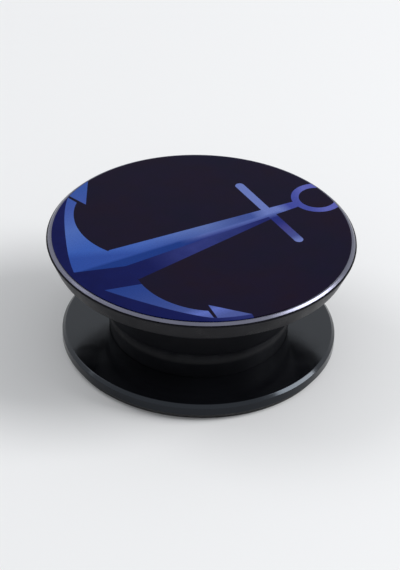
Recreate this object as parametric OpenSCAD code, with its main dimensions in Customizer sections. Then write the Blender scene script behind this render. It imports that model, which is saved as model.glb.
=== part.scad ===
// Pop-up phone grip: a flat button on a folding accordion, on a platform with an adhesive pad.
// It stands on its adhesive face, +Z up, and is drawn half open, with the lower stage popped up.

/* [Adhesive pad] */
// How far the pad's edge lies inside the platform's
pad_inset = 0.6; // [0.3:0.1:2]
// Thickness of the adhesive pad
pad_t = 0.7; // [0.4:0.1:1.2]

/* [Platform] */
// How far the button's edge overhangs the platform's
overhang = 2.1; // [0.8:0.1:2.4]
// Thickness of the platform at its rim
platform_t = 1.6; // [1.5:0.1:2.4]
// Chamfer round the platform's top edge
platform_edge = 0.4; // [0.1:0.05:0.6]
// Bore that the hub turns in
bore_d = 15.6; // [13:0.1:17]
// Web between the recess for the foot and the recess for the snap lip
seat_t = 0.6; // [0.5:0.05:0.8]

/* [Hub] */
// Wall of the hub's barrel
hub_wall = 1.6; // [1.2:0.1:2.4]
// Reach of the snap lip under the platform's web
lip_w = 1.1; // [0.6:0.1:1.4]
// Thickness of the snap lip
lip_t = 0.3; // [0.2:0.05:0.35]
// Thickness of the flange that holds the accordion's foot down
flange_t = 0.7; // [0.5:0.05:1]
// Slots that let the snap fingers spring
finger_slots = 4; // [2:1:6]
// Width of a slot
slot_w = 1.4; // [0.8:0.1:2]

/* [Accordion] */
// Thickness of the stiff walls
wall_t = 0.7; // [0.5:0.05:0.8]
// Thickness left at a fold
hinge_t = 0.3; // [0.2:0.05:0.4]
// Shortest notch on the inside of a fold, along each wall
notch_w = 0.8; // [0.6:0.1:1.2]
// Thickness of the foot
foot_t = 0.5; // [0.4:0.05:0.6]
// Diameter of the first wall at the foot, at mid wall
root_d = 22.2; // [21.5:0.1:23]
// How far each standing wall leans outwards
stand_run = 0.5; // [0.3:0.1:0.7]
// Height of the first wall above the foot
root_rise = 3.1; // [2.8:0.1:3.4]
// Height of the lower popping wall, popped up
low_rise = 6.2; // [5.6:0.1:6.6]
// Height of the middle wall
mid_rise = 2.9; // [2.6:0.1:3.3]
// Depth of the upper popping wall, folded down
high_drop = 3; // [2.7:0.1:3.4]
// Height of the last wall
last_rise = 2.7; // [2.4:0.1:2.9]
// Height of the bead at the accordion's top
bead_h = 0.8; // [0.6:0.05:1]
// How far the bead stands out from the last wall
bead_w = 0.4; // [0.3:0.05:0.6]

/* [Button] */
// Diameter of the button at its top
button_d = 39.7; // [39:0.1:44]
// How much the button's radius shrinks towards its lower edge
button_taper = 0.9; // [0.4:0.1:1]
// Height of the button's side
button_h = 2.5; // [2.2:0.1:3]
// Thickness of the button's top over its cavity
button_top_t = 0.95; // [0.7:0.05:1.3]
// Width of the button's rim round the groove for the bead
rim_w = 1.85; // [1.6:0.05:2.2]
// Radius of the button's lower edge
button_round = 0.5; // [0.2:0.05:0.6]
// Reach of the lip that holds the bead
grip_w = 0.5; // [0.3:0.05:0.6]
// Height of the lip's straight part
grip_h = 0.3; // [0.2:0.05:0.4]

/* [Top plate] */
// How far the plate's edge lies inside the button's
plate_inset = 0.2; // [0:0.05:0.6]
// Thickness of the metal plate
plate_t = 0.4; // [0.3:0.05:0.8]
// Bevel round the plate, left bare
plate_edge = 0.25; // [0.1:0.05:0.3]

/* [Print] */
// Thickness of the printed film
print_t = 0.1; // [0.08:0.01:0.2]
// Bare margin between the film and the plate's edge
print_margin = 0.5; // [0.3:0.05:1]
// Turn of the anchor about the button's centre
print_turn = -7; // [-180:1:180]
// Distance of the anchor's shank from the button's centre
print_shift = 0.35; // [0:0.05:0.8]
// How far the outside of the anchor's arms lies beyond the film's edge, which crops it
crown_over = 0.45; // [0.2:0.05:0.85]
// Turn of the arms against the shank
arms_turn = 5; // [0:0.5:8]
// Depth of the crown, where the arms meet the shank
crook_w = 9.4; // [8.6:0.1:10]
// Depth of an arm where its fluke begins
arm_w = 2.3; // [2:0.1:3]
// Deepest part of the dark edge along each arm
shade_w = 2.4; // [1.6:0.1:2.6]
// Depth of that edge at the crown and along the flukes
edge_w = 0.8; // [0.5:0.1:1.2]
// Angle from the crown to each tip of the flukes
arm_angle = 74; // [66:1:78]
// Part of that angle that a fluke takes
fluke_angle = 14.5; // [10:0.5:18]
// Depth of a fluke at its barb
fluke_w = 3.6; // [3:0.1:4.4]
// Angle by which the barb points back to the crown
barb_sweep = 3; // [0:0.5:4]
// Gap between an arm and its fluke
fluke_gap = 0.45; // [0.3:0.05:0.6]
// Angle where the right arm comes out of the shank's shade
shade_angle = 13; // [8:1:20]
// Slant of that shade across the arm
shade_slant = 11; // [4:1:16]
// Half width of the shank at the crown
shank_w = 2.05; // [1.6:0.05:2.6]
// Half width of the shank at the ring
neck_w = 0.65; // [0.4:0.05:0.8]
// Width of the shank's dark side at the crown
side_w = 3.3; // [2:0.1:3.8]
// Width of the shank's dark side at the stock
side_neck_w = 0.5; // [0.3:0.1:0.8]
// Distance from the stock to the middle of the anchor's ring
stock_drop = 7.4; // [6.8:0.1:9]
// Half length of the stock
stock_len = 7.8; // [6:0.1:9]
// Half width of the stock
stock_w = 0.6; // [0.4:0.05:0.9]
// How far the middle of the anchor's ring lies inside the film's edge
ring_inset = 1.45; // [0.9:0.05:2.2]
// Outer radius of the anchor's ring
ring_r = 3.4; // [2.8:0.1:3.8]
// Width of the anchor's ring
ring_w = 1; // [0.7:0.1:1.2]

/* [Clearances] */
// Running clearance of the hub in the platform
turn_gap = 0.2; // [0.1:0.05:0.25]
// Clearance of the soft accordion from the pieces that hold it
soft_gap = 0.05; // [0.04:0.01:0.08]

/* [Hidden] */
$fn = 96;
arc_steps = 6;
through = 1;

button_r = button_d / 2;
platform_r = button_r - overhang;
platform_z = pad_t;
platform_top = platform_z + platform_t;
foot_top = platform_top;
foot_z = foot_top - foot_t;
seat_top = foot_z - soft_gap;
seat_z = seat_top - seat_t;
bore_r = bore_d / 2;
barrel_r = bore_r - turn_gap;
barrel_in_r = barrel_r - hub_wall;
lip_r = barrel_r + lip_w;
lip_top = seat_z - soft_gap;
lip_z = lip_top - lip_t;
lip_recess_r = lip_r + turn_gap;
flange_z = foot_top + soft_gap;
flange_top = flange_z + flange_t;

groove_r = button_r - rim_w;
bead_outer_r = groove_r - soft_gap;
bead_mid_r = bead_outer_r - bead_w - wall_t / 2;

// Middle line of the accordion's wall, as [radius, height], from the foot to the bead
root_r = root_d / 2;
pop_run = (bead_mid_r - root_r - 2 * stand_run) / 3;
fold_runs = [0, stand_run, pop_run, stand_run, pop_run, pop_run];
fold_rises = [0, foot_t + root_rise, low_rise, mid_rise, -high_drop, last_rise];
function sum_to(list, i) = i < 0 ? 0 : list[i] + sum_to(list, i - 1);
folds = [for (i = [0 : len(fold_runs) - 1]) [root_r + sum_to(fold_runs, i), foot_z + sum_to(fold_rises, i)]];
last_fold = len(folds) - 1;
top_fold = 3;
bead_mid = folds[last_fold];

foot_inner_r = bore_r + soft_gap;
foot_outer_r = at_height(face_point(0, 0, -1), wall_dir(0), foot_top)[0];
foot_recess_r = foot_outer_r + soft_gap;
flange_r = root_r - wall_t / 2 - soft_gap;

bead_top = bead_mid[1] + bead_h / 2;
bead_low = bead_mid[1] - bead_h / 2;
cavity_top = max(bead_top, folds[top_fold][1] + wall_t / 2) + soft_gap;
groove_z = bead_low - soft_gap;
groove_top = bead_top + soft_gap;
grip_r = groove_r - grip_w;
grip_z = groove_z - grip_h;
button_top = cavity_top + button_top_t;
button_z = button_top - button_h;
button_low_r = button_r - button_taper;
plate_r = button_r - plate_inset;
plate_top = button_top + plate_t;
print_r = plate_r - print_margin;
print_z = plate_top;
crown_r = print_r + crown_over;
ring_x = print_r - ring_inset;
stock_x = ring_x - stock_drop;

// Unit direction from a to b, and that direction turned a quarter turn to the left
function unit(a, b) = (b - a) / norm(b - a);
function left(d) = [-d[1], d[0]];
function wall_dir(i) = unit(folds[i], folds[i + 1]);
function turn_sign(i) = cross(wall_dir(i - 1), wall_dir(i)) > 0 ? 1 : -1;
function polar(r, a) = [r * cos(a), r * sin(a)];
function angle_of(v) = atan2(v[1], v[0]);

// Length of a fold's notch: long enough for the two inner faces to clear each other
function fold_angle(i) = acos(max(-1, min(1, -wall_dir(i - 1) * wall_dir(i))));
function notch(i) = max(notch_w, wall_t / 2 / tan(fold_angle(i) / 2) + hinge_t / 2);

// The outside of a fold is an arc of half a wall's thickness round the fold
function outer_fold(i, side) =
    let (from = angle_of(side * left(wall_dir(i - 1))),
         to = angle_of(side * left(wall_dir(i))),
         raw = to - from,
         sweep = raw > 180 ? raw - 360 : (raw < -180 ? raw + 360 : raw))
    [for (k = [0 : arc_steps]) folds[i] + polar(wall_t / 2, from + sweep * k / arc_steps)];

// The inside of a fold is a notch that leaves a thin hinge
function inner_fold(i, side) =
    let (before = wall_dir(i - 1),
         after = wall_dir(i),
         out = unit(after, before))
    [folds[i] - before * notch(i) + side * left(before) * wall_t / 2,
     folds[i] + out * (wall_t / 2 - hinge_t),
     folds[i] + after * notch(i) + side * left(after) * wall_t / 2];

function side_points(side) =
    [for (i = [1 : last_fold - 1])
        each (turn_sign(i) * side < 0 ? outer_fold(i, side) : inner_fold(i, side))];
function face_point(i, wall, side) = folds[i] + side * left(wall_dir(wall)) * wall_t / 2;
function at_height(point, dir, z) = point + dir * (z - point[1]) / dir[1];
function reversed(list) = [for (i = [len(list) - 1 : -1 : 0]) list[i]];
last_wall = last_fold - 1;
accordion_outline = concat(
    [[foot_inner_r, foot_z],
     [foot_inner_r, foot_top],
     at_height(face_point(0, 0, 1), wall_dir(0), foot_top)],
    side_points(1),
    [at_height(face_point(last_fold, last_wall, 1), wall_dir(last_wall), bead_top),
     [bead_outer_r, bead_top],
     [bead_outer_r, bead_low],
     at_height(face_point(last_fold, last_wall, -1), wall_dir(last_wall), bead_low)],
    reversed(side_points(-1)),
    [[foot_outer_r, foot_top],
     [foot_outer_r, foot_z]]);

// The anchor lies along +X of its own frame, and an angle on its arms counts from the crown
arm_end = arm_angle - fluke_angle;
arm_steps = 28;
fluke_steps = 6;
fluke_start = arm_end + fluke_gap / crown_r * 180 / PI;
inner_end = arm_end - barb_sweep * arm_w / fluke_w;
arm_power = 1.5;
crook_share = 0.8;
edge_lap = 0.1;
shank_start = -crown_r + crook_w * crook_share;
shank_end = ring_x - ring_r + ring_w / 2;
function shank_at(x) = neck_w + (shank_w - neck_w) * (shank_end - x) / (shank_end - shank_start);
function arm_point(a, r) = [-r * cos(a), r * sin(a)];
function arm_depth(a) = arm_w + (crook_w - arm_w) * pow(max(0, 1 - abs(a) / arm_end), arm_power);
function shade_depth(a) = edge_w + (shade_w - edge_w) * sin(180 * abs(a) / arm_end);
function arc(from, to, r, count) = [for (k = [0 : count]) arm_point(from + (to - from) * k / count, r)];

// Points of an arm's edges, from step number first to its end; side is 1 on the left, -1 on the right
function step_at(angle) = round(arm_steps * angle / arm_end);
crown_angle = arm_end * step_at(arms_turn) / arm_steps;
crown_tip = arm_point(crown_angle - arms_turn, crown_r - shade_depth(crown_angle));
function ridge(side, first) =
    [for (k = [first : arm_steps])
        let (a = arm_end * k / arm_steps)
        arm_point(side * a, crown_r - shade_depth(a))];
function inner(side, first) =
    [for (k = [first : arm_steps])
        let (a = inner_end * k / arm_steps)
        arm_point(side * a, crown_r - arm_depth(a))];

module adhesive_pad() {
    color("dimgray")
    cylinder(r = platform_r - pad_inset, h = pad_t);
}

module platform() {
    color([0.06, 0.06, 0.07])
    rotate_extrude()
    difference() {
        polygon([
            [0, platform_z],
            [platform_r - platform_edge / 2, platform_z],
            [platform_r, platform_z + platform_edge / 2],
            [platform_r, platform_top - platform_edge],
            [platform_r - platform_edge, platform_top],
            [0, platform_top]]);
        translate([-through, platform_z - through])
            square([bore_r + through, platform_t + 2 * through]);
        translate([-through, seat_top])
            square([foot_recess_r + through, foot_t + through]);
        translate([-through, platform_z - through])
            square([lip_recess_r + through, seat_z - platform_z + through]);
    }
}

module hub() {
    color([0.16, 0.16, 0.17])
    difference() {
        rotate_extrude()
        polygon([
            [barrel_in_r, lip_z],
            [lip_r - lip_t, lip_z],
            [lip_r, lip_top],
            [barrel_r, lip_top],
            [barrel_r, flange_z],
            [flange_r, flange_z],
            [flange_r, flange_top],
            [barrel_in_r, flange_top]]);
        for (i = [0 : finger_slots - 1])
            rotate(i * 360 / finger_slots)
            translate([0, -slot_w / 2, lip_z - through])
                cube([lip_r + through, slot_w, flange_z - lip_z + through]);
    }
}

module accordion() {
    color([0.1, 0.1, 0.11])
    rotate_extrude()
        polygon(accordion_outline);
}

module button() {
    color([0.08, 0.08, 0.1])
    rotate_extrude()
    difference() {
        union() {
            polygon([
                [0, button_z],
                [button_low_r - button_round, button_z],
                [button_low_r, button_z + button_round],
                [button_r, button_top],
                [0, button_top]]);
            translate([button_low_r - button_round, button_z + button_round])
                circle(r = button_round);
        }
        polygon([
            [-through, button_z - through],
            [grip_r + grip_z - button_z + through, button_z - through],
            [grip_r, grip_z],
            [grip_r, groove_z],
            [groove_r, groove_z],
            [groove_r, groove_top],
            [grip_r, groove_top],
            [grip_r, cavity_top],
            [-through, cavity_top]]);
    }
}

module top_plate() {
    color([0.72, 0.7, 0.78])
    rotate_extrude()
    polygon([
        [0, button_top],
        [plate_r, button_top],
        [plate_r, plate_top - plate_edge],
        [plate_r - plate_edge, plate_top],
        [0, plate_top]]);
}

module fluke(side) {
    polygon(concat(
        [arm_point(side * (fluke_start - barb_sweep), crown_r - fluke_w)],
        arc(side * fluke_start, side * arm_angle, crown_r - edge_w, fluke_steps)));
}

module arm_face(side, from, slant) {
    polygon(concat(
        ridge(side, step_at(from)),
        reversed(inner(side, step_at(from + slant)))));
}

module anchor_face() {
    intersection() {
        circle(r = print_r);
        translate([0, print_shift])
        union() {
            rotate(arms_turn) {
                arm_face(1, arms_turn, 0);
                arm_face(-1, shade_angle, shade_slant);
                fluke(1);
                fluke(-1);
            }
            polygon([
                crown_tip,
                [shank_start, -shank_w],
                [shank_end, -neck_w],
                [shank_end, neck_w],
                [shank_start, shank_w]]);
            translate([stock_x, 0]) {
                square([2 * stock_w, 2 * (stock_len - stock_w)], center = true);
                for (side = [-1, 1])
                    translate([0, side * (stock_len - stock_w)])
                        circle(r = stock_w);
            }
            translate([ring_x, 0])
            difference() {
                circle(r = ring_r);
                circle(r = ring_r - ring_w);
            }
        }
    }
}

module anchor_shade() {
    difference() {
        intersection() {
            circle(r = print_r);
            translate([0, print_shift])
            union() {
                rotate(arms_turn) {
                    polygon(concat(
                        arc(-arm_end, arm_end, crown_r, 2 * arm_steps),
                        reversed(inner(1, 1)),
                        inner(-1, 0)));
                    polygon(concat(
                        arc(-arm_angle, arm_angle, crown_r, 2 * arm_steps),
                        arc(arm_angle, -arm_angle, crown_r - edge_w - edge_lap, 2 * arm_steps)));
                }
                polygon([
                    [shank_start, 0],
                    [shank_start, -shank_w - side_w],
                    [stock_x, -shank_at(stock_x) - side_neck_w],
                    [stock_x, 0]]);
            }
        }
        anchor_face();
    }
}

module on_plate() {
    translate([0, 0, print_z])
    rotate(print_turn)
    linear_extrude(print_t)
        children();
}

module print_field() {
    color([0.15, 0.12, 0.18])
    on_plate()
    difference() {
        circle(r = print_r);
        anchor_face();
        anchor_shade();
    }
}

module anchor_light() {
    color([0.42, 0.56, 0.9])
    on_plate()
        anchor_face();
}

module anchor_dark() {
    color([0.16, 0.2, 0.5])
    on_plate()
        anchor_shade();
}

adhesive_pad();
platform();
hub();
accordion();
button();
top_plate();
print_field();
anchor_light();
anchor_dark();
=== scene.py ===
# %% [markdown]
# # A pop-up phone grip, half open
#
# The real object is a flat round button on a folding rubber-like accordion, which stands on a
# low plastic platform with an adhesive pad under it. Everything but the print is round about one
# upright axis, so nearly every piece here is turned: an outline is drawn once and swept round.
# The CAD model is loaded first, as a fixed frame in metres, and each piece is made in its place.

# %% Load the frame
import math
import bpy
from mathutils import Matrix, Vector


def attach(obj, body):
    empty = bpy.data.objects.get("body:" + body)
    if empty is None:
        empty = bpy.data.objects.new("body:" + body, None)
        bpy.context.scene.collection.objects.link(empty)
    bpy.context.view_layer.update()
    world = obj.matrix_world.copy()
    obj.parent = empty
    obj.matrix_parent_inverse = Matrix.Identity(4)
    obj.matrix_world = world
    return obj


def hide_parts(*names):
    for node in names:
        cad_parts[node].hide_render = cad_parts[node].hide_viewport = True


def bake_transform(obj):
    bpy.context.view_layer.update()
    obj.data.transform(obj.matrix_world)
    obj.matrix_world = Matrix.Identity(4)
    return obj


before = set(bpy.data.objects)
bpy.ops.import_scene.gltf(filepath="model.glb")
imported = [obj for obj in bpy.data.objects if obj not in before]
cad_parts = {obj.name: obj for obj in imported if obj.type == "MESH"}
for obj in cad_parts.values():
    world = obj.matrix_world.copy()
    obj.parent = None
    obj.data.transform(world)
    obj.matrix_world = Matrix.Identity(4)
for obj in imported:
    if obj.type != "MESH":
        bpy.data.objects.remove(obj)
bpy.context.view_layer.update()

# %% [markdown]
# ## Node trees
#
# The lathe, the finishes and the surroundings are all node trees. Nodes could be added and joined
# one line at a time each time they are needed, but a small class that keeps a tree at hand makes
# each recipe short enough to read. A number goes into a socket as its value, and another node's
# output is joined to it.

# %% Helpers for node trees
class Nodes:
    """A node tree with short ways to add nodes and join them."""

    def __init__(self, tree):
        self.tree = tree

    def add(self, kind, **values):
        """A new node with its settings and its inputs' values."""
        node = self.tree.nodes.new(kind)
        for key, value in values.items():
            if hasattr(node, key):
                setattr(node, key, value)
            else:
                node.inputs[key.replace("_", " ")].default_value = value
        return node

    def link(self, output, socket):
        self.tree.links.new(output, socket)

    def maths(self, operation, *values):
        """One step of arithmetic on numbers and outputs."""
        node = self.add("ShaderNodeMath", operation=operation)
        for socket, value in zip(node.inputs, values):
            if isinstance(value, (int, float)):
                socket.default_value = value
            else:
                self.link(value, socket)
        return node.outputs[0]

    def ranged(self, value, low, high, start=0.35, stop=0.65):
        """The value moved from start..stop to low..high, and held at both ends."""
        node = self.add("ShaderNodeMapRange")
        ends = {"From Min": start, "From Max": stop, "To Min": low, "To Max": high}
        for name, number in ends.items():
            node.inputs[name].default_value = number
        self.link(value, node.inputs["Value"])
        return node.outputs[0]


print("node helpers:", [name for name in vars(Nodes) if not name.startswith("_")])

# %% [markdown]
# ## Outlines with soft corners
#
# Moulds and presses never leave a perfectly sharp corner, and it is the small round on each edge
# that catches the light. An outline is written here as corners of (radius, height, round) in
# millimetres, anticlockwise. Each corner becomes an arc. A guard point is set just before and
# after each arc, so that smooth shading stays flat on the flat faces and turns only in the round.

# %% Rounding an outline
GUARD = 0.05


def rounded(corners, steps=6, closed=True):
    """The corners' outline with each corner's round put in, as a list of 2-D points."""
    points = []
    count = len(corners)
    for i, (r, z, round_off) in enumerate(corners):
        here = Vector((r, z))
        if round_off == 0 or (not closed and i in (0, count - 1)):
            points.append(here)
            continue
        before = (Vector(corners[i - 1][:2]) - here).normalized()
        after = (Vector(corners[(i + 1) % count][:2]) - here).normalized()
        half = before.angle(after) / 2
        reach = round_off / math.tan(half)
        middle = here + (before + after).normalized() * round_off / math.sin(half)
        first, last = here + before * reach, here + after * reach
        start = math.atan2(first.y - middle.y, first.x - middle.x)
        stop = math.atan2(last.y - middle.y, last.x - middle.x)
        sweep = (stop - start + math.pi) % (2 * math.pi) - math.pi
        points.append(first + before * GUARD)
        for k in range(steps + 1):
            a = start + sweep * k / steps
            points.append(middle + round_off * Vector((math.cos(a), math.sin(a))))
        points.append(last + after * GUARD)
    return points


square = [(0, 0, 0.1), (1, 0, 0.1), (1, 1, 0.1), (0, 1, 0.1)]
print("a square with rounded corners has", len(rounded(square)), "points")

# %% [markdown]
# ## One lathe for every turned piece
#
# A lathe could be a Screw modifier or a spin in mesh code. A Geometry Nodes tree does it with
# inputs that can be read and changed: it lays out a grid of one column for each step round the
# axis and one row for each point of the outline, and moves each grid point to its outline point,
# turned by its column's angle. The seam's two columns and the poles' rings are then merged, so
# the skin is closed. The outline also carries a number from 0 to 1 called crease, which the
# accordion's finish reads later. The widest pieces get more steps round, so that their edges
# stay round in a close view.

# %% Where each grid point goes
def grid_places(n, points, rows, steps):
    """For each grid point, the number of its outline point and the angle of its column."""
    index = n.add("GeometryNodeInputIndex").outputs[0]
    column = n.maths("FLOOR", n.maths("DIVIDE", n.maths("ADD", index, 0.5), rows))
    row = n.maths("SUBTRACT", index, n.maths("MULTIPLY", column, rows))
    in_outline = n.maths("LESS_THAN", row, n.maths("SUBTRACT", points, 0.5))
    angle = n.maths("DIVIDE", n.maths("MULTIPLY", column, 2 * math.pi), steps)
    return n.maths("MULTIPLY", in_outline, row), angle


def at_outline_point(n, outline, value, number, data_type):
    """What a value is at one of the outline's points."""
    sample = n.add("GeometryNodeSampleIndex", data_type=data_type)
    for source, socket in ((outline, "Geometry"), (value, "Value"), (number, "Index")):
        n.link(source, sample.inputs[socket])
    return sample.outputs[0]


def swept(n, point, angle):
    """An outline point turned round the axis by an angle."""
    split, place = n.add("ShaderNodeSeparateXYZ"), n.add("ShaderNodeCombineXYZ")
    n.link(point, split.inputs[0])
    for turn, axis in (("COSINE", "X"), ("SINE", "Y")):
        n.link(n.maths("MULTIPLY", split.outputs["X"], n.maths(turn, angle)), place.inputs[axis])
    n.link(split.outputs["Z"], place.inputs["Z"])
    return place.outputs[0]


# %% [markdown]
# The tree's inputs are the outline, the number of steps round, whether the outline is closed,
# how near two points must be to merge, and the finish. It ends by making its result real
# geometry with its material set, because the export keeps nothing else.

# %% The lathe's node tree
STEPS, STEPS_FOR_EDGES = 192, 288


def lathe_tree():
    n = Nodes(bpy.data.node_groups.new("Lathe", "GeometryNodeTree"))
    put = n.tree.interface.new_socket
    put("Outline", in_out="INPUT", socket_type="NodeSocketGeometry")
    put("Steps round", in_out="INPUT", socket_type="NodeSocketInt").default_value = STEPS
    put("Closed outline", in_out="INPUT", socket_type="NodeSocketInt").default_value = 1
    put("Merge distance", in_out="INPUT", socket_type="NodeSocketFloat").default_value = 1e-6
    put("Finish", in_out="INPUT", socket_type="NodeSocketMaterial")
    put("Piece", in_out="OUTPUT", socket_type="NodeSocketGeometry")
    given, made = n.add("NodeGroupInput"), n.add("NodeGroupOutput")
    outline, steps = given.outputs["Outline"], given.outputs["Steps round"]

    size = n.add("GeometryNodeAttributeDomainSize")
    n.link(outline, size.inputs[0])
    points = size.outputs["Point Count"]
    rows = n.maths("ADD", points, given.outputs["Closed outline"])
    grid = n.add("GeometryNodeMeshGrid")
    n.link(n.maths("ADD", steps, 1), grid.inputs["Vertices X"])
    n.link(rows, grid.inputs["Vertices Y"])

    number, angle = grid_places(n, points, rows, steps)
    position = n.add("GeometryNodeInputPosition").outputs[0]
    crease = n.add("GeometryNodeInputNamedAttribute", Name="crease").outputs["Attribute"]
    point = at_outline_point(n, outline, position, number, "FLOAT_VECTOR")
    skin = grid.outputs["Mesh"]
    for node, socket, value in (
            (n.add("GeometryNodeStoreNamedAttribute", Name="crease"), "Value",
             at_outline_point(n, outline, crease, number, "FLOAT")),
            (n.add("GeometryNodeSetPosition"), "Position", swept(n, point, angle)),
            (n.add("GeometryNodeMergeByDistance"), "Distance", given.outputs["Merge distance"]),
            (n.add("GeometryNodeSetShadeSmooth"), None, None),
            (n.add("GeometryNodeRealizeInstances"), None, None),
            (n.add("GeometryNodeSetMaterial"), "Material", given.outputs["Finish"])):
        n.link(skin, node.inputs[0])
        if socket:
            n.link(value, node.inputs[socket])
        skin = node.outputs[0]
    n.link(skin, made.inputs[0])
    return n.tree


LATHE = lathe_tree()
print("lathe tree with", len(LATHE.nodes), "nodes")

# %% [markdown]
# The outline goes in as a small mesh in the XZ plane. The lathe's result is copied to a plain
# mesh, which is the finished piece, and the outline is thrown away. A signed volume tells
# whether the faces point outwards: it is positive only then.

# %% Turning a piece
def enclosed(mesh):
    """The signed volume that a closed mesh encloses, in cubic metres."""
    mesh.calc_loop_triangles()
    co = [v.co for v in mesh.vertices]
    corners = (t.vertices for t in mesh.loop_triangles)
    return sum(co[a].dot(co[b].cross(co[c])) for a, b, c in corners) / 6


def turned(name, points, finish, creases=None, steps=STEPS, closed=True):
    """A piece turned from an outline of (radius, height) points in millimetres."""
    outline = bpy.data.meshes.new(name + "_outline")
    outline.from_pydata([(r / 1000, 0, z / 1000) for r, z in points], [], [])
    crease = outline.attributes.new("crease", "FLOAT", "POINT")
    crease.data.foreach_set("value", creases or [0.0] * len(points))
    pattern = bpy.data.objects.new(name + "_pattern", outline)
    bpy.context.scene.collection.objects.link(pattern)
    lathe = pattern.modifiers.new("Lathe", "NODES")
    lathe.node_group = LATHE
    values = {"Steps round": steps, "Closed outline": int(closed), "Finish": finish}
    for socket in LATHE.interface.items_tree:
        if socket.name in values:
            lathe[socket.identifier] = values[socket.name]
    graph = bpy.context.evaluated_depsgraph_get()
    mesh = bpy.data.meshes.new_from_object(pattern.evaluated_get(graph))
    bpy.data.objects.remove(pattern)
    piece = bpy.data.objects.new(name, mesh)
    bpy.context.scene.collection.objects.link(piece)
    volume = enclosed(mesh) * 1e9
    if volume < 0:
        mesh.flip_normals()
    print(f"{name}: {len(mesh.polygons)} faces, encloses {abs(volume):.1f} mm3")
    return piece


# %% [markdown]
# ## Finishes
#
# Each finish is a Principled shader with patterns on the piece's own coordinates, in metres, so
# a noise scale of 5000 makes grains a fifth of a millimetre across. The helpers below add the
# patterns that all plastics share: a value that drifts a little over the surface, and a fine
# grain that tilts the surface.

# %% Helpers for finishes
MIX_FACTOR, MIX_FIRST, MIX_SECOND, MIX_RESULT = 0, 6, 7, 2   # the Mix node's sockets for colours


class Finish(Nodes):
    """A material's node tree, with its shader and the piece's own coordinates at hand."""

    def __init__(self, name):
        self.material = bpy.data.materials.new(name)
        self.material.use_nodes = True
        super().__init__(self.material.node_tree)
        self.shader = self.tree.nodes["Principled BSDF"]
        self.place = self.add("ShaderNodeTexCoord").outputs["Object"]

    def noise(self, scale, detail=2.0, place=None):
        """A value that drifts about 0.5 over the surface."""
        node = self.add("ShaderNodeTexNoise", Scale=scale, Detail=detail)
        self.link(place or self.place, node.inputs["Vector"])
        return node.outputs["Fac"]

    def mixed(self, value, first, second):
        """A colour between the first, where the value is 0, and the second, where it is 1."""
        node = self.add("ShaderNodeMix", data_type="RGBA")
        for socket, colour in ((node.inputs[MIX_FIRST], first), (node.inputs[MIX_SECOND], second)):
            if isinstance(colour, tuple):
                socket.default_value = (*colour, 1)
            else:
                self.link(colour, socket)
        self.link(value, node.inputs[MIX_FACTOR])
        return node.outputs[MIX_RESULT]

    def bump(self, height, distance, strength=1.0, under=None):
        """A tilt of the surface that follows a height, on top of another bump if one is given."""
        node = self.add("ShaderNodeBump", Strength=strength, Distance=distance)
        self.link(height, node.inputs["Height"])
        if under is not None:
            self.link(under, node.inputs["Normal"])
        return node.outputs[0]

    def shade(self, colour=None, roughness=None, normal=None, **constants):
        """Joins the patterns to the shader and sets the values that are constant."""
        for socket, source in (("Base Color", colour), ("Roughness", roughness), ("Normal", normal)):
            if source is not None:
                self.link(source, self.shader.inputs[socket])
        for key, value in constants.items():
            self.shader.inputs[key.replace("_", " ")].default_value = value
        print(self.material.name, "has", len(self.tree.nodes), "nodes")
        return self.material


# %% [markdown]
# The platform is hard plastic from a polished mould. It is almost black, and what one sees of it
# is mostly reflection. A single black with one roughness would look like a hole in the picture,
# so its detail is in the gloss: faint smears, very fine hairlines from handling, and a slow
# waviness that keeps the reflections from looking like a mirror's.

# %% Polished platform plastic
def polished_plastic():
    f = Finish("Polished black plastic")
    colour = f.mixed(f.noise(140), (0.0030, 0.0032, 0.0042), (0.0058, 0.0062, 0.0080))
    smear = f.ranged(f.noise(260, 4.0), 0.10, 0.19)
    stretch = f.add("ShaderNodeMapping", Rotation=(0, 0, 0.6), Scale=(1.0, 14.0, 1.0))
    f.link(f.place, stretch.inputs["Vector"])
    hairline = f.ranged(f.noise(900, 3.0, stretch.outputs[0]), 0.0, 0.07, 0.62, 0.72)
    wave = f.bump(f.noise(220, 1.0), 0.00003, 0.35)
    grain = f.bump(f.noise(9000), 0.000002, 0.25, under=wave)
    return f.shade(colour, f.maths("ADD", smear, hairline), grain,
                   Specular_IOR_Level=0.36, Specular_Tint=(0.76, 0.86, 1.0, 1))


POLISHED = polished_plastic()

# %% [markdown]
# The accordion is a soft, tough plastic with a dull skin. It is darker and rougher than the
# platform, with an even fine grain from the mould. Where it folds, the skin has been bent many
# times, so the crease number from the outline makes it a little paler and rougher there.

# %% Soft accordion plastic
def soft_plastic():
    f = Finish("Soft black plastic")
    crease = f.add("ShaderNodeAttribute", attribute_name="crease").outputs["Fac"]
    worn = f.maths("MULTIPLY", crease, f.ranged(f.noise(500, 4.0), 0.2, 1.0))
    colour = f.mixed(f.noise(300), (0.0036, 0.0038, 0.0050), (0.0068, 0.0070, 0.0088))
    colour = f.mixed(f.maths("MULTIPLY", worn, 0.5), colour, (0.026, 0.027, 0.031))
    dull = f.ranged(f.noise(700, 3.0), 0.40, 0.52)
    roughness = f.maths("ADD", dull, f.maths("MULTIPLY", worn, 0.15))
    grain = f.bump(f.noise(6500, 3.0), 0.000012, 0.5)
    return f.shade(colour, roughness, grain, Specular_IOR_Level=0.10)


SOFT = soft_plastic()

# %% [markdown]
# The button's body is moulded with a fine satin grain, and handling has polished it unevenly. The
# grain is far too fine to model, so it is a bump, and the polish is a slow drift in roughness.

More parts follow.
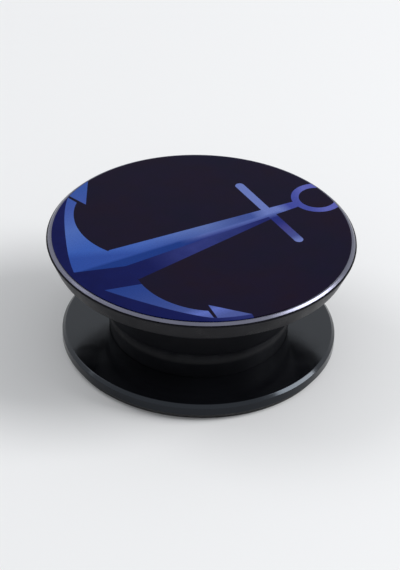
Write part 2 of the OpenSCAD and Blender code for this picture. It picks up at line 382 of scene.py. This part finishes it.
# %% Satin button plastic
def satin_plastic():
    f = Finish("Satin black plastic")
    colour = f.mixed(f.noise(200, 3.0), (0.0045, 0.0045, 0.0062), (0.0080, 0.0078, 0.0105))
    roughness = f.ranged(f.noise(420, 4.0), 0.26, 0.38)
    grain = f.bump(f.noise(7500, 2.0), 0.000008, 0.5)
    return f.shade(colour, roughness, grain, Specular_IOR_Level=0.08)


SATIN = satin_plastic()

# %% [markdown]
# The hub inside is plain moulded plastic with the swirls of the mould's spark-cut surface. It is
# hidden while the grip is half open, and shows only when pieces are looked at one by one.

# %% Hub plastic
def spark_plastic():
    f = Finish("Spark-textured plastic")
    colour = f.mixed(f.noise(350, 3.0), (0.020, 0.020, 0.022), (0.030, 0.030, 0.033))
    roughness = f.ranged(f.noise(800, 4.0), 0.45, 0.60)
    grain = f.bump(f.noise(4200, 4.0), 0.00002, 0.6)
    return f.shade(colour, roughness, grain)


SPARK = spark_plastic()

# %% [markdown]
# The adhesive pad is foam tape: dark foam with tiny open cells between two sticky films. Cells
# are what a Voronoi pattern draws, and the films get a smoother, slightly tacky gloss.

# %% Foam tape
def foam_tape():
    f = Finish("Foam tape")
    cells = f.add("ShaderNodeTexVoronoi", Scale=5200.0)
    f.link(f.place, cells.inputs["Vector"])
    between = f.ranged(cells.outputs["Distance"], 0.0, 1.0, 0.1, 0.6)
    colour = f.mixed(between, (0.020, 0.020, 0.021), (0.052, 0.052, 0.055))
    roughness = f.ranged(f.noise(1500, 3.0), 0.70, 0.88)
    grain = f.bump(cells.outputs["Distance"], 0.00004, 0.6)
    return f.shade(colour, roughness, grain)


def sticky_film():
    f = Finish("Sticky film")
    colour = f.mixed(f.noise(600, 3.0), (0.035, 0.035, 0.037), (0.060, 0.060, 0.062))
    roughness = f.ranged(f.noise(1100, 4.0), 0.30, 0.48)
    return f.shade(colour, roughness, f.bump(f.noise(2500, 3.0), 0.00001, 0.5))


FOAM = foam_tape()
FILM = sticky_film()

# %% [markdown]
# The plate is aluminium, dyed a smoky lilac grey, and its edge was cut on a lathe. The tool's
# marks are rings round the axis: a noise read only from the distance to the axis draws them.

# %% Lathe-cut metal
def cut_metal():
    f = Finish("Lathe-cut metal")
    flat = f.add("ShaderNodeVectorMath", operation="MULTIPLY")
    flat.inputs[1].default_value = (1, 1, 0)
    f.link(f.place, flat.inputs[0])
    radius = f.add("ShaderNodeVectorMath", operation="LENGTH")
    f.link(flat.outputs[0], radius.inputs[0])
    rings = f.add("ShaderNodeTexNoise", noise_dimensions="1D", Scale=26000.0, Detail=3.0)
    f.link(radius.outputs["Value"], rings.inputs["W"])
    colour = f.mixed(f.noise(260, 3.0), (0.118, 0.120, 0.160), (0.158, 0.160, 0.208))
    worn = f.ranged(f.noise(900, 4.0), 0.0, 0.08)
    roughness = f.maths("ADD", f.ranged(rings.outputs["Fac"], 0.17, 0.27), worn)
    grooves = f.bump(rings.outputs["Fac"], 0.000002, 0.5)
    return f.shade(colour, roughness, grooves, Metallic=1.0)


METAL = cut_metal()

# %% [markdown]
# ## The print
#
# The print is a film with a blue anchor on a dark plum ground. The anchor lies a few degrees off
# the frame's X axis, so each ink first turns the coordinates into the anchor's own frame, with X
# from its crown to its ring and Y to its left. A ramp then takes colours at places along either
# axis. Ink on film is never quite even, so a fine speckle is mixed in, and the smooth varnish
# over it has a few soft smears.

# %% Helpers for inks
ANCHOR_TURN = math.radians(-7)
ANCHOR_SHIFT = 0.00035
ANCHOR_PLACE = (-ANCHOR_SHIFT * math.sin(ANCHOR_TURN), ANCHOR_SHIFT * math.cos(ANCHOR_TURN), 0)


def anchor_frame(f):
    """Coordinates along and across the anchor, in metres."""
    turn = f.add("ShaderNodeMapping", vector_type="TEXTURE", Rotation=(0, 0, ANCHOR_TURN),
                 Location=ANCHOR_PLACE)
    f.link(f.place, turn.inputs["Vector"])
    split = f.add("ShaderNodeSeparateXYZ")
    f.link(turn.outputs[0], split.inputs[0])
    return split.outputs["X"], split.outputs["Y"]


def ramped(f, value, stops):
    """A colour that follows a coordinate through stops of (place in millimetres, colour)."""
    first, last = stops[0][0], stops[-1][0]
    node = f.add("ShaderNodeValToRGB")
    for place, colour in stops[1:-1]:
        node.color_ramp.elements.new((place - first) / (last - first)).color = (*colour, 1)
    for end, (_, colour) in ((0, stops[0]), (-1, stops[-1])):
        node.color_ramp.elements[end].color = (*colour, 1)
    f.link(f.ranged(value, 0.0, 1.0, first / 1000, last / 1000), node.inputs["Fac"])
    return node.outputs["Color"]


def varnished(f, colour):
    """Speckles the ink and puts a smeared varnish on it."""
    speckled = f.mixed(f.ranged(f.noise(5200, 2.0), 0.0, 0.14), colour, (0.001, 0.001, 0.006))
    roughness = f.ranged(f.noise(380, 4.0), 0.225, 0.255)
    waves = f.bump(f.noise(3000, 2.0), 0.000003, 0.04)
    return f.shade(speckled, roughness, waves, Specular_IOR_Level=0.03)


# %% [markdown]
# The anchor is drawn as if it were folded from sheet, so each of its light faces has a drift of
# its own. Along the shank the blue grows paler and more lilac, sinks just before the stock, is
# brightest where the stock crosses, and sinks again towards the ring. The left arm is palest in
# its middle, and the right arm comes out of the dark crown and brightens to its fluke. The right
# half of the stock starts in the shank's shade. A soft fold runs along the shank's middle line
# and slants across the crown.

# %% Blue ink
CROWN_BLUE, STOCK_BLUE, FOLD_BLUE = (0.034, 0.100, 0.42), (0.138, 0.188, 0.49), (0.014, 0.044, 0.26)
ALONG_SHANK = [(-18.8, CROWN_BLUE), (-9.0, (0.050, 0.118, 0.44)), (0.9, (0.106, 0.165, 0.43)),
               (6.1, (0.050, 0.082, 0.29)), (8.0, (0.046, 0.080, 0.30)), (9.9, STOCK_BLUE),
               (11.4, STOCK_BLUE), (13.1, (0.046, 0.060, 0.31)), (15.2, (0.054, 0.070, 0.33)),
               (17.1, (0.105, 0.120, 0.44)), (19.0, (0.100, 0.110, 0.42))]
LEFT_ARM = [(3.0, CROWN_BLUE), (8.2, (0.070, 0.140, 0.45)),
            (12.8, (0.046, 0.088, 0.36)), (16.0, (0.036, 0.086, 0.34))]
RIGHT_ARM = [(-3.5, (0.008, 0.036, 0.21)), (-7.6, (0.020, 0.050, 0.24)), (-11.9, (0.036, 0.068, 0.27)),
             (-14.0, (0.050, 0.080, 0.28)), (-15.4, (0.110, 0.155, 0.50)), (-17.0, (0.068, 0.095, 0.31))]
RIGHT_STOCK = [(-0.4, (0.100, 0.145, 0.43)), (-1.4, (0.014, 0.022, 0.17)), (-2.7, (0.018, 0.024, 0.18)),
               (-4.0, (0.044, 0.044, 0.22)), (-6.2, (0.055, 0.072, 0.26)),
               (-7.4, (0.150, 0.195, 0.49)), (-8.0, (0.160, 0.205, 0.51))]


def light_ink():
    f = Finish("Blue ink")
    x, y = anchor_frame(f)
    unevenly = f.ranged(f.noise(300, 3.0), -0.0004, 0.0004)
    blue = ramped(f, f.maths("ADD", x, unevenly), ALONG_SHANK)
    crownwards = f.ranged(x, 1.0, 0.0, -0.0035, 0.0)
    on_left_arm = f.maths("MULTIPLY", crownwards, f.ranged(y, 0.0, 1.0, 0.0025, 0.0045))
    blue = f.mixed(on_left_arm, blue, ramped(f, y, LEFT_ARM))
    slant = f.maths("MULTIPLY", f.maths("MINIMUM", f.maths("ADD", x, 0.009), 0.0), 0.35)
    beside_fold = f.ranged(f.maths("ADD", y, slant), 0.6, 0.0, -0.0003, 0.0013)
    short_of_stock = f.ranged(x, 1.0, 0.0, -0.004, 0.007)
    blue = f.mixed(f.maths("MULTIPLY", beside_fold, short_of_stock), blue, FOLD_BLUE)
    right_half = f.mixed(crownwards, ramped(f, y, RIGHT_STOCK), ramped(f, y, RIGHT_ARM))
    short_of_ring = f.ranged(x, 1.0, 0.0, 0.0115, 0.0125)
    on_right = f.maths("MULTIPLY", f.ranged(y, 1.0, 0.0, -0.0006, -0.0002), short_of_ring)
    return varnished(f, f.mixed(on_right, blue, right_half))


# %% [markdown]
# The anchor's shaded faces and the dark edge round its arms are navy, deepest at the crown. The
# ground is so dark that its plum shows only as a slow drift between a redder and a bluer black.

# %% Navy ink and plum ground
ALONG_SHADE = [(-18.8, (0.0010, 0.0028, 0.058)), (-9.4, (0.0028, 0.0060, 0.078)),
               (-2.7, (0.0270, 0.0370, 0.190)), (2.5, (0.0220, 0.0330, 0.170)),
               (8.0, (0.0120, 0.0170, 0.135))]


def dark_ink():
    f = Finish("Navy ink")
    x, y = anchor_frame(f)
    blotches = f.ranged(f.noise(450, 3.0), 0.0, 0.35)
    return varnished(f, f.mixed(blotches, ramped(f, x, ALONG_SHADE), (0.0030, 0.0080, 0.095)))


def ground_ink():
    f = Finish("Plum ground")
    slow = f.ranged(f.noise(110, 2.0), 0.0, 1.0)
    drift = f.mixed(slow, (0.0034, 0.0024, 0.0150), (0.0068, 0.0020, 0.0120))
    plum = f.mixed(f.ranged(f.noise(420, 3.0), 0.0, 0.5), drift, (0.0050, 0.0022, 0.0185))
    return varnished(f, plum)


LIGHT_BLUE, DARK_BLUE, GROUND = light_ink(), dark_ink(), ground_ink()

# %% [markdown]
# ## The platform and its pad
#
# The platform is a low ring: a chamfered top edge, a bore for the hub, a recess above for the
# accordion's foot and one below for the hub's snap lip. It could be cut from a cylinder with
# Boolean and Bevel modifiers, but one outline gives each corner its own round. The chamfer's two
# corners are kept crisp but round, because they draw the thin bright line round its edge.

# %% Platform
PAD_TOP, PLATFORM_TOP = 0.7, 2.3
PLATFORM_R, LOW_CHAMFER, CHAMFER = 17.75, 0.2, 0.4
BORE_R, LIP_RECESS_R, FOOT_RECESS_R = 7.8, 8.9, 11.57
WEB_LOW, WEB_TOP = 1.15, 1.75

platform = turned("platform_ring", rounded([
    (LIP_RECESS_R, PAD_TOP, 0),
    (PLATFORM_R - LOW_CHAMFER, PAD_TOP, 0.06), (PLATFORM_R, PAD_TOP + LOW_CHAMFER, 0.06),
    (PLATFORM_R, PLATFORM_TOP - CHAMFER, 0.12), (PLATFORM_R - CHAMFER, PLATFORM_TOP, 0.12),
    (FOOT_RECESS_R, PLATFORM_TOP, 0.04), (FOOT_RECESS_R, WEB_TOP, 0),
    (BORE_R, WEB_TOP, 0.04), (BORE_R, WEB_LOW, 0.04),
    (LIP_RECESS_R, WEB_LOW, 0)]), POLISHED, steps=STEPS_FOR_EDGES)
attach(platform, "platform")
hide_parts("platform")

# %% [markdown]
# The pad could be one disc with stripes painted on its edge, but it is made as the tape really
# is, a foam disc between two films. The foam's edge lies a hair inside the films' edges, because
# the tape is punched and the foam springs back.

# %% Adhesive pad
PAD_R, FILM_T, FOAM_INSET = 17.15, 0.1, 0.07


def disc(name, r, low, high, round_off, finish):
    """A disc from one height to another, with its two edges rounded."""
    corners = [(0, low, 0), (r, low, round_off), (r, high, round_off), (0, high, 0)]
    return turned(name, rounded(corners, closed=False), finish, closed=False)


pad_parts = [disc("adhesive_lower_film", PAD_R, 0.0, FILM_T, 0.02, FILM),
             disc("adhesive_foam", PAD_R - FOAM_INSET, FILM_T, PAD_TOP - FILM_T, 0.05, FOAM),
             disc("adhesive_upper_film", PAD_R, PAD_TOP - FILM_T, PAD_TOP, 0.02, FILM)]
for part in pad_parts:
    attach(part, "platform")
    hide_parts("adhesive_pad")

# %% [markdown]
# ## The accordion
#
# The accordion is one moulding of stiff conical walls joined by thin folds. Two of its walls pop
# through, up or down, and the others keep their shape. A single skin could not follow that, so
# each wall is turned on its own: each of the three that stand still rides on a body of its own,
# and the two that pop are on no body. All walls share one rule, with the same thickness, and a
# thin hinge of skin round the outside of each fold and a notch inside it.

# %% The rule for a wall
WALL, HINGE = 0.7, 0.3
FOLDS = [Vector(p) for p in ((11.1, 1.8), (11.6, 5.4), (13.3, 11.6),
                             (13.8, 14.5), (15.5, 11.5), (17.2, 14.2))]
NOTCHES = [0, 0.85, 0.85, 1.13, 0.8, 0]
HINGE_SIDE = [0, 1, -1, 1, -1, 0]
WORN_LENGTH, HARD_WORN = 0.7, 0.15
TIP_STEPS = 8


def left_of(d):
    """A direction turned a quarter turn to the left."""
    return Vector((-d.y, d.x))


def direction(i):
    """The direction of the wall that starts at a fold."""
    return (FOLDS[i + 1] - FOLDS[i]).normalized()


def wall_tip(i, d, side, tuck=0.0):
    """A wall's end at fold i, which it reaches in direction d, with each point's crease number.

    The hinge lies on the given side of the wall, 1 for its left. A tuck draws the tip in.
    """
    fold, notch, half = FOLDS[i], NOTCHES[i], WALL / 2
    n = left_of(d) * side
    turns = [math.pi / 2 * k / TIP_STEPS for k in range(TIP_STEPS + 1)]
    points = [(fold - d * notch - n * half, 0.0),
              (fold - d * notch * 0.5 - n * (half - HINGE) * 0.5, 0.5),
              (fold + n * (half - HINGE), 1.0)]
    points += [(fold + (half - tuck) * (d * math.cos(a) + n * math.sin(a)), 1.0) for a in turns]
    points += [(fold - d * HARD_WORN + n * half, 0.9), (fold - d * WORN_LENGTH + n * half, 0.0)]
    return points if side > 0 else points[::-1]


def tips(i, tuck=0.0):
    """Both ends of the wall from fold i to fold i + 1."""
    return (wall_tip(i + 1, direction(i), HINGE_SIDE[i + 1], tuck)
            + wall_tip(i, -direction(i), -HINGE_SIDE[i], tuck))


def subdivided(points, longest=0.3):
    """Points added along the long sides, so that no side is longer than the longest."""
    full = []
    for (here, mark), (after, next_mark) in zip(points, points[1:] + points[:1]):
        steps = max(1, math.ceil((after - here).length / longest))
        for share in (k / steps for k in range(steps)):
            full.append((here.lerp(after, share), mark + (next_mark - mark) * share))
    return full


def wall_piece(name, points):
    """A wall turned from its outline, standing for the accordion."""
    points = subdivided(points)
    piece = turned(name, [p for p, _ in points], SOFT, [mark for _, mark in points])
    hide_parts("accordion")
    return piece


# %% [markdown]
# The first wall stands on a flat foot, which the hub's flange holds down in the platform. The
# last wall ends in a bead, which snaps into the groove inside the button. The outlines of these
# two run straight on into the foot and the bead, as in the moulding.

# %% Standing walls
FOOT_INNER_R, FOOT_Z = 7.85, FOLDS[0].y
BEAD_R, BEAD_LOW, BEAD_TOP = 17.95, 13.8, 14.6


def face_at_height(i, side, z):
    """Where a face of the wall from fold i meets a height; side is 1 for its left face."""
    d = direction(i)
    p = FOLDS[i] + left_of(d) * side * WALL / 2
    return p + d * (z - p.y) / d.y


def unworn(*points):
    """Points away from any fold, where the skin isn't creased."""
    return [(Vector(p), 0.0) for p in points]


foot_edge = face_at_height(0, -1, PLATFORM_TOP)
root = unworn((FOOT_INNER_R, FOOT_Z), (foot_edge.x, FOOT_Z), foot_edge)
root += wall_tip(1, direction(0), HINGE_SIDE[1])
root += unworn(face_at_height(0, 1, PLATFORM_TOP), (FOOT_INNER_R, PLATFORM_TOP))
root_wall = wall_piece("accordion_root_wall", root)
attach(root_wall, "hub")

bead = unworn((BEAD_R, BEAD_LOW), (BEAD_R, BEAD_TOP), face_at_height(4, 1, BEAD_TOP))
bead += wall_tip(4, -direction(4), -HINGE_SIDE[4])
bead += unworn(face_at_height(4, -1, BEAD_LOW))
last_wall = wall_piece("accordion_last_wall", bead)
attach(last_wall, "button")

middle_wall = wall_piece("accordion_middle_wall", tips(2))
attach(middle_wall, "middle")

# %% [markdown]
# The popping walls are turned from the folds between the standing walls, and ride on no body.
# The upper one hangs down at rest. A popping wall's tips are tucked in by a hair, so that its
# skin and its neighbour's don't lie in one place.

# %% Popping walls
TUCK = 0.015


lower_popping_wall = wall_piece("accordion_lower_popping_wall", tips(1, TUCK))
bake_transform(lower_popping_wall)

upper_popping_wall = wall_piece("accordion_upper_popping_wall", tips(3, TUCK))
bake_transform(upper_popping_wall)

# %% [markdown]
# ## The button
#
# The button is a shallow cup, upside down. Its side leans in towards its lower edge, which is
# well rounded for the fingers, and inside it has the groove that holds the accordion's bead. A
# Bevel modifier would round all its edges alike, and here each one gets its own radius instead.

# %% Button body
BUTTON_R, BUTTON_LOW_R, BUTTON_LOW, BUTTON_TOP = 19.85, 18.725, 13.35, 15.85
CAVITY_TOP, LIP_R, LIP_LOW, LIP_CHAMFER = 14.9, 17.5, 13.45, 0.1
GROOVE_R, GROOVE_LOW, GROOVE_TOP = 18.0, 13.75, 14.65

button_body = turned("button_body", rounded([
    (0, CAVITY_TOP, 0), (LIP_R, CAVITY_TOP, 0.08),
    (LIP_R, GROOVE_TOP, 0.04), (GROOVE_R, GROOVE_TOP, 0.04),
    (GROOVE_R, GROOVE_LOW, 0.04), (LIP_R, GROOVE_LOW, 0.04),
    (LIP_R, LIP_LOW, 0.04), (LIP_R + LIP_CHAMFER, BUTTON_LOW, 0.03),
    (BUTTON_LOW_R, BUTTON_LOW, 0.45), (BUTTON_R, BUTTON_TOP, 0.05),
    (0, BUTTON_TOP, 0)], closed=False), SATIN, steps=STEPS_FOR_EDGES, closed=False)
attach(button_body, "button")
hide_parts("button")

# %% [markdown]
# The metal plate covers the button's top. The print stops short of its bevel, and it is this
# narrow ring of uncovered metal that shows round the print and catches the brightest light. The
# bevel is part of the outline, so its width is exact, and its two edges have rounds of their own.

# %% Metal plate
PLATE_R, PLATE_TOP, BEVEL = 19.65, 16.25, 0.25

plate = turned("metal_plate", rounded([
    (0, BUTTON_TOP, 0), (PLATE_R, BUTTON_TOP, 0.04),
    (PLATE_R, PLATE_TOP - BEVEL, 0.05), (PLATE_R - BEVEL, PLATE_TOP, 0.05),
    (0, PLATE_TOP, 0)], closed=False), METAL, steps=STEPS_FOR_EDGES, closed=False)
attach(plate, "button")
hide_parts("top_plate")

# %% [markdown]
# The hub and the three inks of the print keep their CAD shapes, which are exact: the inks lie
# side by side in one thin film. They only get their finishes.

# %% Finishes on CAD pieces
kept = {"hub": SPARK, "print_field": GROUND, "anchor_light": LIGHT_BLUE, "anchor_dark": DARK_BLUE}
for node, finish in kept.items():
    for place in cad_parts[node].material_slots:
        place.material = finish
    print(node, "gets", finish.name)

# %% [markdown]
# ## The studio
#
# The floor is a plain pale sheet that keeps the grip's shadow. A large soft lamp stands to the
# right of the camera, where the bright glint on the plate's edge shows it must be, and the
# surroundings light the rest. The world looks white to the camera and in reflections, but lights
# the object only at half strength, so colours come out about as they are written.

# %% Floor
HALF_FLOOR = 2

floor_mesh = bpy.data.meshes.new("floor")
corners = [(-1, -1), (1, -1), (1, 1), (-1, 1)]
floor_mesh.from_pydata([(x * HALF_FLOOR, y * HALF_FLOOR, 0) for x, y in corners], [], [(0, 1, 2, 3)])
floor = bpy.data.objects.new("floor", floor_mesh)
bpy.context.scene.collection.objects.link(floor)
sheet = Finish("Pale studio sheet")
floor_mesh.materials.append(sheet.shade(
    sheet.mixed(sheet.noise(6, 3.0), (0.86, 0.865, 0.875), (0.88, 0.885, 0.895)),
    sheet.ranged(sheet.noise(40, 3.0), 0.85, 0.95), Specular_IOR_Level=0.1))

# %% World and lamps
LIT_BY_WORLD, SEEN_WORLD = 0.5, 1.0

world = bpy.data.worlds.new("Soft studio")
bpy.context.scene.world = world
world.use_nodes = True
sky = Nodes(world.node_tree)
rays = sky.add("ShaderNodeLightPath").outputs
seen = sky.maths("MAXIMUM", rays["Is Camera Ray"], rays["Is Glossy Ray"])
seen = sky.maths("MAXIMUM", seen, rays["Is Transmission Ray"])
background = sky.tree.nodes["Background"].inputs
sky.link(sky.ranged(seen, LIT_BY_WORLD, SEEN_WORLD, 0.0, 1.0), background["Strength"])
background["Color"].default_value = (0.97, 0.985, 1.0, 1)


def soft_lamp(name, towards, distance, side, power):
    """A square lamp of the given side and power that faces the origin from one direction."""
    data = bpy.data.lights.new(name, "AREA")
    data.shape = "SQUARE"
    data.size = side
    data.energy = power
    lamp = bpy.data.objects.new(name, data)
    bpy.context.scene.collection.objects.link(lamp)
    lamp.location = Vector(towards).normalized() * distance
    lamp.rotation_euler = Vector(towards).to_track_quat("Z", "Y").to_euler()
    print(name, "at", [round(1000 * c) for c in lamp.location], "mm")


soft_lamp("key lamp", (0.645, -0.494, 0.584), 0.6, 0.3, 2.6)
soft_lamp("back lamp", (-0.35, 0.65, 0.75), 0.7, 0.4, 1.0)

# %% [markdown]
# ## The camera
#
# The camera stands where the photograph was taken from, about a third of a metre away and
# thirty-five degrees above the grip, and is turned to it. It keeps the small tilt of the
# horizon. A longer lens lets the grip fill the width of the upright picture.

# %% Camera
SENSOR, LENS = 36, 168

eye = Vector((-0.17718, -0.22071, 0.20336))
aim = Vector((0, 0, 0.0085))
ahead = (aim - eye).normalized()
tilted = Vector((0.78734, -0.61566, 0.03245))
right = (tilted - tilted.dot(ahead) * ahead).normalized()
up = right.cross(ahead)
lens = bpy.data.cameras.new("camera")
lens.sensor_width = SENSOR
lens.lens = LENS
lens.clip_start = 0.01
camera = bpy.data.objects.new("camera", lens)
bpy.context.scene.collection.objects.link(camera)
camera.matrix_world = Matrix.Translation(eye) @ Matrix((right, up, -ahead)).transposed().to_4x4()
bpy.context.scene.camera = camera
bpy.context.scene.view_settings.view_transform = "Standard"
print("camera to grip", round((aim - eye).length * 1000), "mm")

# %% [markdown]
# The visual model has to stay in the CAD model's box.
